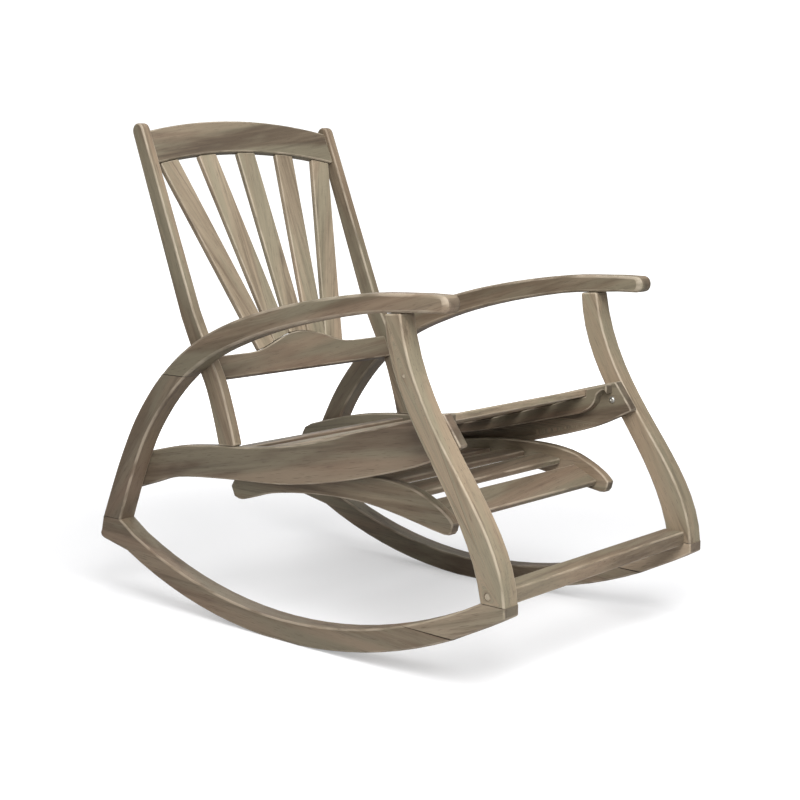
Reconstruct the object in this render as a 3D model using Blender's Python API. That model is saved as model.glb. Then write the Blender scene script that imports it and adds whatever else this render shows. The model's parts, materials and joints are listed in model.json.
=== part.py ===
"""Garden rocking chair in weathered hardwood with a footrest that slides out from under the seat.

Metres, +Z up. The chair faces -Y and stands on the floor, Z = 0. The sizes below are
measured from the lowest point of the rockers, Y = 0 there. "right" and "left" are those of a person sitting in it, so right is at -X.
"""
import math

import bmesh
import bpy
from mathutils import Matrix, Vector

# ---- Driving dimensions -------------------------------------------------------------------------
WIDTH = 0.630            # over the outer faces of the two side frames
FRAME_T = 0.040          # thickness of the arms, bows, front legs and rockers
BOARD_T = 0.0215         # thickness of the seat rails, bearers, back posts
GAP = 0.0003             # left between two pieces that touch

ROCKER_R = 1.043         # radius of the rocking edge
ROCKER_W = 0.042         # depth of the rocker
FLAT_Y = 0.0             # the flat on which the chair rests: its middle
FLAT_W = 0.100           # and its length
TOE_Y = -0.528           # front end of the rocker
HEEL_Y = 0.533           # rear end of the rocker
HEEL_RUN = 0.085         # length of the straight, shallower end behind the rocking edge
HEEL_RISE = 0.016        # its rise
FOOT_JOINT_Z = 0.162     # where the front leg and the bow stand on the rocker
SCARF_Y = -0.360         # middle of the slanted joint between the two rocker pieces
SCARF_RUN = 0.115        # its length

ARM_TOP_Z = 0.671        # top of the arm where it is level
ARM_TIP_Y = -0.405       # front end of the arm
ARM_TIP_R = 0.012        # rounding of the arm's front corners
ARM_DEPTH = 0.0445       # depth of the arm and the bow
TIP_DEPTH = 0.032        # depth of the arm over the front leg
BOW_FOOT_DEPTH = 0.051   # depth of the bow where it stands on the rocker
ARM_JOINT_Z = 0.477      # height of the joint between arm and bow

LEG_TOP_Y = -0.281       # middle of the leg's top end
LEG_TOP_W = 0.036        # depth of the leg at the top
LEG_FOOT_W = 0.052       # and at the foot

SEAT_FRONT_Z = 0.465     # top of the seat rail at the front leg
SEAT_LOW_Z = 0.340       # top of the seat rail in front of the back
SEAT_END_Y = 0.502       # rear end of the seat rail
SLAT_T = 0.015           # seat slats: thickness
SLAT_W = 0.0495          # width
SLAT_COUNT = 6
SLAT_DROP = 0.001        # their top lies this far under the rail's top at the front
SLAT_DROP_REAR = 0.004   # and this far behind
FIRST_SLAT_Y = -0.308    # front edge of the first slat
LAST_SLAT_Y = 0.120      # rear edge of the last one
BEARER_FRONT = 0.050     # depth of the bearer's lower edge under the rail's top, at the front
BEARER_REAR = 0.036      # and at the back
BEARER_END_Y = 0.200     # its rear end

BACK_TOP_Z = 0.967       # top of the back posts
BACK_LEAN = 0.398        # how far the posts go rearwards for each metre up
STRAIGHT_Z = 0.604       # height at which the straight part of the posts begins
STRAIGHT_Y = 0.274       # and the posts' front edge there
POST_W = 0.040           # depth of the post where its straight part begins
POST_TOP_W = 0.031       # near its top
POST_FOOT_W = 0.047      # and on the seat rail
POST_FOOT_Y = 0.160      # front edge of the post where it stands on the seat rail
BACK_RAIL_T = 0.020      # thickness of the crest and the lower back rail
BACK_SLAT_T = 0.012
BACK_SLAT_W = 0.0490
BACK_SLAT_COUNT = 5
BACK_SLAT_FOOT = 0.200   # their spacing at the foot, as a share of the back's half width
BACK_SLAT_HEAD = 0.428   # and at the crest
CREST_END_Z = BACK_TOP_Z - 0.078     # lower edge of the crest at its ends
CREST_RISE = 0.024       # rise of the crest's arch
CREST_DEPTH = 0.064      # height of the crest, upright
LOWER_RAIL_Z = 0.470     # lower edge of the lower back rail
LOWER_RAIL_DEPTH = 0.043     # its height at the ends
HUMP_RISE = 0.031        # extra height of its hump
HUMP_HALF = 0.150        # half the length of the hump

STRETCHER_FRONT_Y = -0.514   # front stretcher
STRETCHER_REAR_Y = -0.470
STRETCHER_TOP_Z = 0.185
STRETCHER_LOW_Z = 0.158

FOOT_T = 0.0205          # thickness of the footrest's side rails
FOOT_CLEAR = 0.002       # sideways play between the footrest and the seat rails
FOOT_SLAT_COUNT = 4
FOOT_SLAT_T = 0.012
FOOT_SLAT_W = 0.056
FOOT_SLAT_PITCH = 0.089
FOOT_SLAT_Y = -0.341     # front edge of the first slat
FOOT_SLAT_DROP = 0.020   # the footrest's slats lie this far under its rails' top
FOOT_TRAVEL = 0.200      # how far the footrest pulls out
FOOT_SLOPE = 0.180       # its rise for each metre forwards
PIN_D = 0.008            # the footrest's guide pins
PIN_REAR_Y = 0.125
PIN_FRONT_Y = 0.030
PIN_REAR_Z = 0.290
GROOVE_DEPTH = 0.006     # groove in the seat rail that guides the pins
GROOVE_PLAY = 0.0005     # between a pin and the groove, all round

BOLT_D = 0.006           # frame bolts
BOLT_HEAD_D = 0.013
BOLT_HEAD_T = 0.003
HOLE_PLAY = 0.0004       # between a bolt and its hole, all round
DOWEL_D = 0.012          # dowels that hold the back post to the arm and to the seat rail
DOWEL_IN = 0.015         # how far the one in the arm goes into each
DOWEL_UP = 0.025         # and the one under the post's foot
PLUG_D = 0.013           # wooden plugs
PLUG_T = 0.006

# ---- Planes across the chair, from the outside in ------------------------------------------------
X_OUT = WIDTH / 2
X_FRAME = X_OUT - FRAME_T
X_RAIL_OUT = X_FRAME - GAP
X_RAIL_IN = X_RAIL_OUT - BOARD_T
X_BEAR_OUT = X_RAIL_IN - GAP
X_BEAR_IN = X_BEAR_OUT - BOARD_T
X_FOOT_OUT = X_RAIL_IN - FOOT_CLEAR
X_FOOT_IN = X_FOOT_OUT - FOOT_T
SIDES = (("right", -1.0), ("left", 1.0))

WOOD = ((0.255, 0.205, 0.150), (0.225, 0.182, 0.135), (0.285, 0.232, 0.172))
STEEL = (0.55, 0.53, 0.48)


# ---- Small helpers -------------------------------------------------------------------------------
def material(name, colour, roughness=0.75, metallic=0.0):
    """A plain Principled material, made once for each name."""
    found = bpy.data.materials.get(name)
    if found:
        return found
    made = bpy.data.materials.new(name)
    made.use_nodes = True
    shader = made.node_tree.nodes["Principled BSDF"]
    shader.inputs["Base Color"].default_value = (*colour, 1.0)
    shader.inputs["Roughness"].default_value = roughness
    shader.inputs["Metallic"].default_value = metallic
    return made


def lerp(a, b, t):
    return a + (b - a) * t


def bezier(p0, p1, p2, p3, steps):
    """Points along a cubic curve from p0 to p3."""
    points = []
    for i in range(steps + 1):
        t = i / steps
        weights = ((1 - t) ** 3, 3 * (1 - t) ** 2 * t, 3 * (1 - t) * t * t, t ** 3)
        points.append(tuple(sum(w * p[k] for w, p in zip(weights, (p0, p1, p2, p3)))
                            for k in (0, 1)))
    return points


def through(points, steps):
    """A smooth curve through the points, steps to each stretch."""
    first = (2 * points[0][0] - points[1][0], 2 * points[0][1] - points[1][1])
    last = (2 * points[-1][0] - points[-2][0], 2 * points[-1][1] - points[-2][1])
    line = [first, *points, last]
    curve = []
    for a, b, c, d in zip(line, line[1:], line[2:], line[3:]):
        for i in range(steps):
            t = i / steps
            curve.append(tuple(0.5 * (2 * b[k] + (c[k] - a[k]) * t
                                      + (2 * a[k] - 5 * b[k] + 4 * c[k] - d[k]) * t * t
                                      + (3 * b[k] - a[k] - 3 * c[k] + d[k]) * t ** 3)
                               for k in (0, 1)))
    return curve + [points[-1]]


def arc(centre, radius, start, end, steps):
    """Points on a circle between two angles in degrees."""
    angles = [math.radians(lerp(start, end, i / steps)) for i in range(steps + 1)]
    return [(centre[0] + radius * math.cos(a), centre[1] + radius * math.sin(a)) for a in angles]


def look_up(curve, value, by=0):
    """The other coordinate where the curve first passes the value of coordinate by."""
    for p, q in zip(curve, curve[1:]):
        if min(p[by], q[by]) <= value <= max(p[by], q[by]) and p[by] != q[by]:
            return lerp(p[1 - by], q[1 - by], (value - p[by]) / (q[by] - p[by]))
    end = min((curve[0], curve[-1]), key=lambda point: abs(point[by] - value))
    return end[1 - by]


def normals(curve):
    """Unit normals, to the right of the direction of travel."""
    out = []
    for i in range(len(curve)):
        a, b = curve[max(i - 1, 0)], curve[min(i + 1, len(curve) - 1)]
        along = Vector((b[0] - a[0], b[1] - a[1])).normalized()
        out.append((along.y, -along.x))
    return out


def offset(curve, distances):
    """The curve moved to its right by a distance for each point."""
    return [(p[0] + n[0] * d, p[1] + n[1] * d)
            for p, n, d in zip(curve, normals(curve), distances)]


def stretch(curve, low, high):
    """The part of a falling curve between two heights, with its ends cut level."""
    inside = [p for p in curve if low + 0.001 < p[1] < high - 0.001]
    if curve[0][1] > high:
        inside.insert(0, (look_up(curve, high, by=1), high))
    if curve[-1][1] < low:
        inside.append((look_up(curve, low, by=1), low))
    return inside


def add_object(name, mesh, look):
    mesh.materials.append(look)
    made = bpy.data.objects.new(name, mesh)
    bpy.context.scene.collection.objects.link(made)
    return made


def board(name, outline, x_a, x_b, look):
    """A flat board: an outline of (y, z) points, from x_a to x_b."""
    low, high = sorted((x_a, x_b))
    area = sum(p[0] * q[1] - q[0] * p[1] for p, q in zip(outline, outline[1:] + outline[:1]))
    if area < 0:
        outline = outline[::-1]
    build = bmesh.new()
    face = build.faces.new([build.verts.new((low, y, z)) for y, z in outline])
    grown = bmesh.ops.extrude_face_region(build, geom=[face])
    moved = [v for v in grown["geom"] if isinstance(v, bmesh.types.BMVert)]
    bmesh.ops.translate(build, verts=moved, vec=(high - low, 0, 0))
    bmesh.ops.recalc_face_normals(build, faces=build.faces)
    mesh = bpy.data.meshes.new(name)
    build.to_mesh(mesh)
    build.free()
    return add_object(name, mesh, look)


def block(name, corners_low, corners_high, look):
    """A straight bar between two polygons with the same number of (x, y, z) corners."""
    build = bmesh.new()
    low = [build.verts.new(p) for p in corners_low]
    high = [build.verts.new(p) for p in corners_high]
    build.faces.new(low)
    build.faces.new(high[::-1])
    for i in range(len(low)):
        j = (i + 1) % len(low)
        build.faces.new((low[i], high[i], high[j], low[j]))
    bmesh.ops.recalc_face_normals(build, faces=build.faces)
    mesh = bpy.data.meshes.new(name)
    build.to_mesh(mesh)
    build.free()
    return add_object(name, mesh, look)


def turned(name, profile, y, z, look, sides=16):
    """A round piece on an axis along X: profile is a list of (x, radius)."""
    build = bmesh.new()
    rings = []
    for x, radius in profile:
        rings.append([build.verts.new((x, y + radius * math.cos(2 * math.pi * i / sides),
                                       z + radius * math.sin(2 * math.pi * i / sides)))
                      for i in range(sides)])
    for a, b in zip(rings, rings[1:]):
        for i in range(sides):
            j = (i + 1) % sides
            build.faces.new((a[i], b[i], b[j], a[j]))
    build.faces.new(rings[0])
    build.faces.new(rings[-1][::-1])
    bmesh.ops.recalc_face_normals(build, faces=build.faces)
    mesh = bpy.data.meshes.new(name)
    build.to_mesh(mesh)
    build.free()
    mesh.shade_smooth()
    mesh.set_sharp_from_angle(angle=math.radians(40))
    return add_object(name, mesh, look)


def cut(target, cutter):
    """Takes the cutter out of the target and keeps the cutter as a guide."""
    cutter.hide_render = True
    cutter.display_type = "WIRE"
    step = target.modifiers.new("cut " + cutter.name, "BOOLEAN")
    step.operation = "DIFFERENCE"
    step.solver = "EXACT"
    step.object = cutter


def drill(target, tag, y, z, x_a, x_b, diameter):
    """A round hole along X through or into the target."""
    low, high = sorted((x_a, x_b))
    tool = turned("hole_" + tag, [(low, diameter / 2), (high, diameter / 2)], y, z,
                  material("guide", STEEL), sides=12)
    cut(target, tool)


# ---- Outlines of the side frame -------------------------------------------------------------------
def rocker_z(y, radius):
    """Height of an arc about the rocking centre at y."""
    return ROCKER_R - math.sqrt(radius * radius - y * y)


def rocker_arc(y_a, y_b, radius, steps):
    return [(y, rocker_z(y, radius)) for y in (lerp(y_a, y_b, i / steps) for i in range(steps + 1))]


def rocking_edge(y_a, y_b, steps):
    """The lower edge from y_a to y_b, with the flat on which the chair rests."""
    flat = (FLAT_Y - FLAT_W / 2, FLAT_Y + FLAT_W / 2)
    rest_z = rocker_z(flat[1], ROCKER_R)
    points = rocker_arc(y_a, flat[0], ROCKER_R, steps)
    points += rocker_arc(flat[1], y_b, ROCKER_R, steps)
    return [(y, max(z - rest_z, 0.0)) for y, z in points]


# outer edge of the arm and bow: shares of the way back and of the way down
BOW_SHAPE = ((0.0, 0.0), (0.151, 0.012), (0.326, 0.057), (0.480, 0.119), (0.605, 0.195),
             (0.707, 0.291), (0.795, 0.4165), (0.871, 0.572), (0.927, 0.735), (0.968, 0.880),
             (1.0, 1.0))
BOW_START_Y = -0.346
BOW_END_Y = HEEL_Y - 0.011       # the bow's outer edge meets the rocker a little inside the heel
BOW_OUTER = through([(lerp(BOW_START_Y, BOW_END_Y, u), lerp(ARM_TOP_Z, FOOT_JOINT_Z, v))
                     for u, v in BOW_SHAPE], 4)


def arm_depth(share):
    """Depth of the arm and bow at a share of the outer edge."""
    if share < 0.35:
        return lerp(TIP_DEPTH, ARM_DEPTH, min(1.0, share / 0.35))
    if share < 0.72:
        return ARM_DEPTH
    return lerp(ARM_DEPTH, BOW_FOOT_DEPTH, (share - 0.72) / 0.28)


COUNT = len(BOW_OUTER)
BOW_INNER = offset(BOW_OUTER, [arm_depth(i / (COUNT - 1)) for i in range(COUNT)])
ARM_UNDER_Z = look_up(BOW_INNER, LEG_TOP_Y)

LEG_TOP_FRONT, LEG_TOP_REAR = ((y, look_up(BOW_INNER, y) - 2 * GAP)
                               for y in (LEG_TOP_Y - LEG_TOP_W / 2, LEG_TOP_Y + LEG_TOP_W / 2))
LEG_FOOT_REAR_Y = TOE_Y + LEG_FOOT_W
LEG_H = ARM_UNDER_Z - FOOT_JOINT_Z
LEG_FRONT = bezier(LEG_TOP_FRONT,
                   (LEG_TOP_FRONT[0] - 0.031, LEG_TOP_FRONT[1] - 0.455 * LEG_H),
                   (TOE_Y + 0.011, FOOT_JOINT_Z + 0.345 * LEG_H),
                   (TOE_Y + 0.001, FOOT_JOINT_Z + GAP), 16)
LEG_REAR = bezier(LEG_TOP_REAR,
                  (LEG_TOP_REAR[0] - 0.008, LEG_TOP_REAR[1] - 0.395 * LEG_H),
                  (LEG_FOOT_REAR_Y + 0.029, FOOT_JOINT_Z + 0.376 * LEG_H),
                  (LEG_FOOT_REAR_Y, FOOT_JOINT_Z + GAP), 16)

# ---- Outlines of the seat ---------------------------------------------------------------------------
SEAT_DROP_H = SEAT_FRONT_Z - SEAT_LOW_Z
RAIL_FRONT_Y = look_up(LEG_FRONT, SEAT_FRONT_Z, by=1)
RAIL_TOP = through([(RAIL_FRONT_Y, SEAT_FRONT_Z),
                    (-0.275, SEAT_LOW_Z + 0.816 * SEAT_DROP_H),
                    (-0.105, SEAT_LOW_Z + 0.428 * SEAT_DROP_H),
                    (0.002, SEAT_LOW_Z + 0.219 * SEAT_DROP_H),
                    (0.120, SEAT_LOW_Z + 0.070 * SEAT_DROP_H),
                    (0.230, SEAT_LOW_Z),
                    (0.321, SEAT_LOW_Z - 0.0115),
                    (0.403, SEAT_LOW_Z - 0.030),
                    (0.472, SEAT_LOW_Z - 0.049)], 4)
RAIL_NOSE_Z = SEAT_FRONT_Z - 0.054
RAIL_UNDER = through([(look_up(LEG_FRONT, RAIL_NOSE_Z, by=1) - 0.004, RAIL_NOSE_Z),
                      (-0.311, SEAT_LOW_Z + 0.0285),
                      (-0.188, SEAT_LOW_Z - 0.0085),
                      (-0.080, SEAT_LOW_Z - 0.034),
                      (0.040, SEAT_LOW_Z - 0.053),
                      (0.195, SEAT_LOW_Z - 0.063),
                      (0.329, SEAT_LOW_Z - 0.0765),
                      (0.412, SEAT_LOW_Z - 0.101),
                      (0.478, SEAT_LOW_Z - 0.122)], 4)
SLAT_BED = offset(RAIL_TOP, [lerp(SLAT_DROP, SLAT_DROP_REAR, min(1.0, 3.0 * i / len(RAIL_TOP)))
                             + SLAT_T + GAP for i in range(len(RAIL_TOP))])

# ---- Outlines of the back -----------------------------------------------------------------------------
def post_y(z):
    """Front edge of the straight part of the posts at height z."""
    return STRAIGHT_Y + BACK_LEAN * (z - STRAIGHT_Z)


POST_FOOT_Z = look_up(RAIL_TOP, POST_FOOT_Y)
POST_RISE = STRAIGHT_Z - POST_FOOT_Z
POST_FRONT = through([(POST_FOOT_Y, POST_FOOT_Z + GAP), (0.174, POST_FOOT_Z + 0.190 * POST_RISE),
                      (0.199, POST_FOOT_Z + 0.465 * POST_RISE),
                      (0.2255, POST_FOOT_Z + 0.652 * POST_RISE),
                      (0.2505, POST_FOOT_Z + 0.825 * POST_RISE), (STRAIGHT_Y, STRAIGHT_Z)], 3)
POST_DEPTHS = [lerp(POST_FOOT_W, POST_W, i / (len(POST_FRONT) - 1))
               for i in range(len(POST_FRONT))]
POST_REAR = offset(POST_FRONT, POST_DEPTHS)
POST_LEAN = math.atan(BACK_LEAN)

# the panel of crest, slats and lower rail is a little behind the posts' front edge
PANEL_LOW_Y = look_up(POST_FRONT, LOWER_RAIL_Z, by=1) + 0.0215
PANEL_HIGH_Y = post_y(CREST_END_Z) + 0.0065
PANEL_SLOPE = (PANEL_HIGH_Y - PANEL_LOW_Y) / (CREST_END_Z - LOWER_RAIL_Z)


def panel_y(z):
    """Front face of the crest and the lower back rail at height z."""
    return PANEL_LOW_Y + PANEL_SLOPE * (z - LOWER_RAIL_Z)


def crest_low(x):
    """Lower edge of the crest at x."""
    half = X_RAIL_IN
    return CREST_END_Z + CREST_RISE * (1 - (x / half) ** 2)


def lower_top(x):
    """Upper edge of the lower back rail at x."""
    if abs(x) >= HUMP_HALF:
        return LOWER_RAIL_Z + LOWER_RAIL_DEPTH
    swell = (1 + math.cos(math.pi * x / HUMP_HALF)) / 2
    return LOWER_RAIL_Z + LOWER_RAIL_DEPTH + HUMP_RISE * swell


# ---- Outlines of the footrest ---------------------------------------------------------------------------
FOOT_TOP = through([(-0.366, 0.268), (-0.350, 0.283), (-0.316, 0.3025), (-0.270, 0.3195),
                    (-0.200, 0.3275), (-0.100, 0.3250), (0.000, 0.3130), (0.125, 0.2990),
                    (0.180, 0.2810), (0.198, 0.2600)], 3)
FOOT_UNDER = through([(-0.362, 0.254), (-0.345, 0.2465), (-0.246, 0.2645), (-0.163, 0.2760),
                      (-0.080, 0.2765), (0.004, 0.2715), (0.085, 0.2600), (0.140, 0.2440),
                      (0.170, 0.2365), (0.189, 0.2400)], 3)
FOOT_ANGLE = math.atan(FOOT_SLOPE)


def bar_across(name, x_half, centre, angle, width, thick, look):
    """A straight bar along X: centre (y, z) of its section, which leans by an angle."""
    c, s = math.cos(angle), math.sin(angle)
    section = [(centre[0] + u * c - v * s, centre[1] + u * s + v * c)
               for u, v in ((-width / 2, -thick / 2), (width / 2, -thick / 2),
                            (width / 2, thick / 2), (-width / 2, thick / 2))]
    return block(name, [(-x_half, y, z) for y, z in section],
                 [(x_half, y, z) for y, z in section], look)


# ---- Pieces -------------------------------------------------------------------------------------------------
def make_side(side, sign):
    """Everything in one side frame and the boards that are fastened to its inner face."""
    wood, dark, pale = (material("acacia_" + tag, colour)
                        for tag, colour in zip(("mid", "dark", "pale"), WOOD))
    steel = material("steel", STEEL, 0.35, 1.0)
    outer, inner = sign * X_OUT, sign * X_FRAME

    # arm, from its rounded tip to the joint, and bow, from there down to the rocker
    nose = TIP_DEPTH / 2 - 0.0005
    tip = arc((ARM_TIP_Y + nose, ARM_TOP_Z - TIP_DEPTH / 2), nose, 270, 90, 8)
    arm_piece = board("arm_" + side, tip + stretch(BOW_OUTER, ARM_JOINT_Z + GAP, 1.0)
                      + stretch(BOW_INNER, ARM_JOINT_Z + GAP, 1.0)[::-1], outer, inner, wood)
    for way in (-1, 1):
        edge_x = (outer + inner) / 2 + way * FRAME_T / 2
        round_off(arm_piece, "tip_%s_%d" % (side, way), edge_x, edge_x - way * ARM_TIP_R, way)
    bow_outer = stretch(BOW_OUTER, FOOT_JOINT_Z + GAP, ARM_JOINT_Z)
    bow_inner = stretch(BOW_INNER, FOOT_JOINT_Z + GAP, ARM_JOINT_Z)
    foot_inner_y = bow_inner[-1][0]
    bow_piece = board("bow_" + side, bow_outer + bow_inner[::-1], outer, inner, pale)

    leg_piece = board("front_leg_" + side, LEG_FRONT + LEG_REAR[::-1], outer, inner, wood)

    # rocker, in two pieces with a slanted joint
    scarf_low, scarf_high = SCARF_Y - SCARF_RUN / 2, SCARF_Y + SCARF_RUN / 2
    inner_r = ROCKER_R - ROCKER_W
    front_low = rocker_arc(TOE_Y, scarf_low, ROCKER_R, 4)
    front_top = rocker_arc(scarf_high, LEG_FOOT_REAR_Y, inner_r, 5)
    front_top[-1] = (LEG_FOOT_REAR_Y, FOOT_JOINT_Z)
    board("rocker_front_" + side,
          front_low + front_top + [(TOE_Y, FOOT_JOINT_Z)], outer, inner, pale)
    kink = HEEL_Y - HEEL_RUN
    kink_z = rocker_z(kink, ROCKER_R)
    heel = (HEEL_Y, kink_z + HEEL_RISE)
    shift = GAP * 1.5
    rear_low = rocking_edge(scarf_low + shift, kink, 9)
    bow_lean = (BOW_END_Y - HEEL_Y) / (FOOT_JOINT_Z - heel[1])
    heel_round = [(heel[0] - 0.010, heel[1] - 0.0025), (heel[0] - 0.003, heel[1] + 0.001),
                  (heel[0] - 0.0005, heel[1] + 0.008),
                  (heel[0] + bow_lean * 0.016, heel[1] + 0.016)]
    rear_top = rocker_arc(foot_inner_y, scarf_high + shift, inner_r, 18)
    rear_top[0] = (foot_inner_y, FOOT_JOINT_Z)
    board("rocker_rear_" + side,
          rear_low + heel_round + [(BOW_END_Y, FOOT_JOINT_Z)] + rear_top, outer, inner, wood)

    # seat rail on the inner face, with the groove for the footrest's pins
    end = (SEAT_END_Y, SEAT_LOW_Z - 0.083)
    rail_end = [(end[0] - 0.010, end[1] + 0.024), (end[0], end[1] + 0.008),
                (end[0] - 0.001, end[1] - 0.016), (end[0] - 0.009, end[1] - 0.033)]
    rail = board("seat_rail_" + side, RAIL_TOP + rail_end + RAIL_UNDER[::-1],
                 sign * X_RAIL_OUT, sign * X_RAIL_IN, dark)
    cut(rail, groove(side, sign))

    # bearer under the slats: its front end hooks over the bolt
    bearer = bearer_outline()
    bearer_piece = board("seat_bearer_" + side, bearer, sign * X_BEAR_OUT, sign * X_BEAR_IN, wood)

    # back post, tapered to a rounded top; its foot stands on the seat rail
    lean, half = math.degrees(POST_LEAN), POST_TOP_W / 2
    centre_z = BACK_TOP_Z - half
    centre_y = post_y(centre_z) + half / math.cos(POST_LEAN)
    cap = arc((centre_y, centre_z), half, 180 - lean, -lean, 8)
    foot = [(y, look_up(RAIL_TOP, y) + GAP) for y in (POST_FOOT_Y + POST_FOOT_W,
                                                     POST_FOOT_Y + POST_FOOT_W / 2)]
    post = POST_FRONT + cap + POST_REAR[:0:-1] + foot
    post_piece = board("back_post_" + side, post, sign * X_RAIL_OUT, sign * X_RAIL_IN, wood)
    y_s, z_s = crossing()

    # bolts and plugs
    hole = BOLT_D + 2 * HOLE_PLAY
    y_b = RAIL_FRONT_Y + 0.006
    z_b = SEAT_FRONT_Z - 0.036
    y_r, z_r = rail_bolt()
    half = sign * (X_OUT - 0.012)
    for tag, y, z, boards, head_in in (
            ("leg", y_b, z_b, (leg_piece, rail), X_RAIL_IN),
            ("bow", y_r, z_r, (bow_piece, rail), X_RAIL_IN)):
        reach = sign * head_in
        for target in boards:
            drill(target, "%s_%s_%s" % (target.name, tag, side), y, z, half, reach - sign * 0.01,
                  hole)
        bolt("%s_bolt_%s" % (tag, side), y, z, half - sign * GAP, reach, sign, steel)
    # dowels, blind at both ends: from the arm into the post, and from the rail up into the post
    arm_side = arm_piece if z_s > ARM_JOINT_Z else bow_piece
    ends = sign * (X_FRAME + DOWEL_IN), sign * (X_RAIL_OUT - DOWEL_IN)
    for target in (arm_side, post_piece):
        drill(target, "%s_dowel" % target.name, y_s, z_s, ends[0] + sign * GAP,
              ends[1] - sign * GAP, DOWEL_D + 2 * GAP)
    turned("back_dowel_" + side, [(ends[0], DOWEL_D / 2), (ends[1], DOWEL_D / 2)], y_s, z_s, pale)
    dowel_x = sign * (X_RAIL_OUT + X_RAIL_IN) / 2
    dowel_y = POST_FOOT_Y + 0.55 * POST_FOOT_W
    dowel_z = look_up(RAIL_TOP, dowel_y)
    for target in (rail, post_piece):
        cut(target, upright("hole_%s_foot" % target.name, dowel_x, dowel_y, dowel_z - DOWEL_UP - GAP,
                            dowel_z + DOWEL_UP + GAP, DOWEL_D + 2 * GAP, steel))
    upright("post_dowel_" + side, dowel_x, dowel_y, dowel_z - DOWEL_UP, dowel_z + DOWEL_UP,
            DOWEL_D, pale)

    plug_y = (STRETCHER_FRONT_Y + STRETCHER_REAR_Y) / 2
    plug_z = STRETCHER_TOP_Z - 0.009
    drill(leg_piece, "plug_" + side, plug_y, plug_z, sign * (X_OUT + 0.01),
          sign * (X_OUT - PLUG_T - GAP), PLUG_D + 2 * GAP)
    turned("leg_plug_" + side, [(sign * (X_OUT - PLUG_T), PLUG_D / 2),
                                (sign * (X_OUT - 0.0006), PLUG_D / 2)],
           plug_y, plug_z, pale, sides=16)


def round_off(target, tag, edge_x, centre_x, way):
    """Rounds one upright corner of an arm's tip."""
    low, high = ARM_TOP_Z - 2 * TIP_DEPTH, ARM_TOP_Z + TIP_DEPTH
    centre_y = ARM_TIP_Y + ARM_TIP_R
    plan = [(edge_x + way * 0.01, ARM_TIP_Y - 0.01), (edge_x + way * 0.01, centre_y)]
    for i in range(7):
        a = math.radians(90 * i / 6)
        plan.append((centre_x + way * ARM_TIP_R * math.cos(a), centre_y - ARM_TIP_R * math.sin(a)))
    plan.append((centre_x, ARM_TIP_Y - 0.01))
    tool = block("corner_" + tag, [(x, y, low) for x, y in plan], [(x, y, high) for x, y in plan],
                 material("guide", STEEL))
    cut(target, tool)


def groove(side, sign):
    """Cutter for the slanted groove in which the footrest's guide pins run."""
    half = PIN_D / 2 + GROOVE_PLAY
    rise = FOOT_SLOPE
    rear = (PIN_REAR_Y + half, PIN_REAR_Z - rise * half)
    front_y = PIN_FRONT_Y - FOOT_TRAVEL * math.cos(FOOT_ANGLE)
    front = (front_y - half, PIN_REAR_Z + rise * (PIN_REAR_Y - front_y) + rise * half)
    up = Vector((math.sin(FOOT_ANGLE), math.cos(FOOT_ANGLE))) * half
    outline = [(rear[0] + up.x, rear[1] + up.y), (front[0] + up.x, front[1] + up.y),
               (front[0] - up.x, front[1] - up.y), (rear[0] - up.x, rear[1] - up.y)]
    return board("groove_" + side, outline, sign * (X_RAIL_IN - 0.01),
                 sign * (X_RAIL_IN + GROOVE_DEPTH), material("guide", STEEL))


def bearer_outline():
    """The slats' bed above, and below a curve that hooks over the bolt at the front."""
    rear_y = BEARER_END_Y
    steps = 14
    top = []
    for i in range(steps + 1):
        y = lerp(FIRST_SLAT_Y - 0.001, rear_y, i / steps)
        top.append((y, look_up(SLAT_BED, y) - GAP))
    low = []
    for i in range(steps + 1):
        y = lerp(rear_y, FIRST_SLAT_Y + 0.015, i / steps)
        depth = lerp(BEARER_REAR, BEARER_FRONT, i / steps)
        low.append((y, look_up(RAIL_TOP, y) - depth))
    lip_y = RAIL_FRONT_Y + 0.006
    lip_z = look_up(RAIL_TOP, lip_y)
    hook = through([low[-1], (FIRST_SLAT_Y - 0.008, lip_z - 0.054), (FIRST_SLAT_Y - 0.020, lip_z - 0.040),
                    (FIRST_SLAT_Y - 0.026, lip_z - 0.024), (FIRST_SLAT_Y - 0.040, lip_z - 0.0135),
                    (lip_y, lip_z - 0.020)], 3)
    lip = [(lip_y, lip_z - 0.002), (FIRST_SLAT_Y - 0.001, look_up(RAIL_TOP, FIRST_SLAT_Y) - 0.003)]
    return top + low + hook[1:] + lip


def crossing():
    """Where the middle of the bow and the middle of the back post cross."""
    middle_bow = [((p[0] + q[0]) / 2, (p[1] + q[1]) / 2) for p, q in zip(BOW_OUTER, BOW_INNER)]
    middle_post = [((p[0] + q[0]) / 2, (p[1] + q[1]) / 2) for p, q in zip(POST_FRONT, POST_REAR)]
    best = min(((abs(a[0] - b[0]) + abs(a[1] - b[1]), a) for a in middle_bow for b in middle_post))
    return best[1]


def rail_bolt():
    """Where the seat rail crosses the middle of the bow."""
    middle_bow = [((p[0] + q[0]) / 2, (p[1] + q[1]) / 2) for p, q in zip(BOW_OUTER, BOW_INNER)]
    z = SEAT_LOW_Z - 0.076
    return look_up(middle_bow, z, by=1), z


def upright(name, x, y, z_low, z_high, diameter, look, sides=16):
    """A round peg that stands along Z."""
    ring = [(x + diameter / 2 * math.cos(2 * math.pi * i / sides),
             y + diameter / 2 * math.sin(2 * math.pi * i / sides)) for i in range(sides)]
    peg = block(name, [(u, v, z_low) for u, v in ring], [(u, v, z_high) for u, v in ring], look)
    peg.data.shade_smooth()
    peg.data.set_sharp_from_angle(angle=math.radians(40))
    return peg


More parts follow.
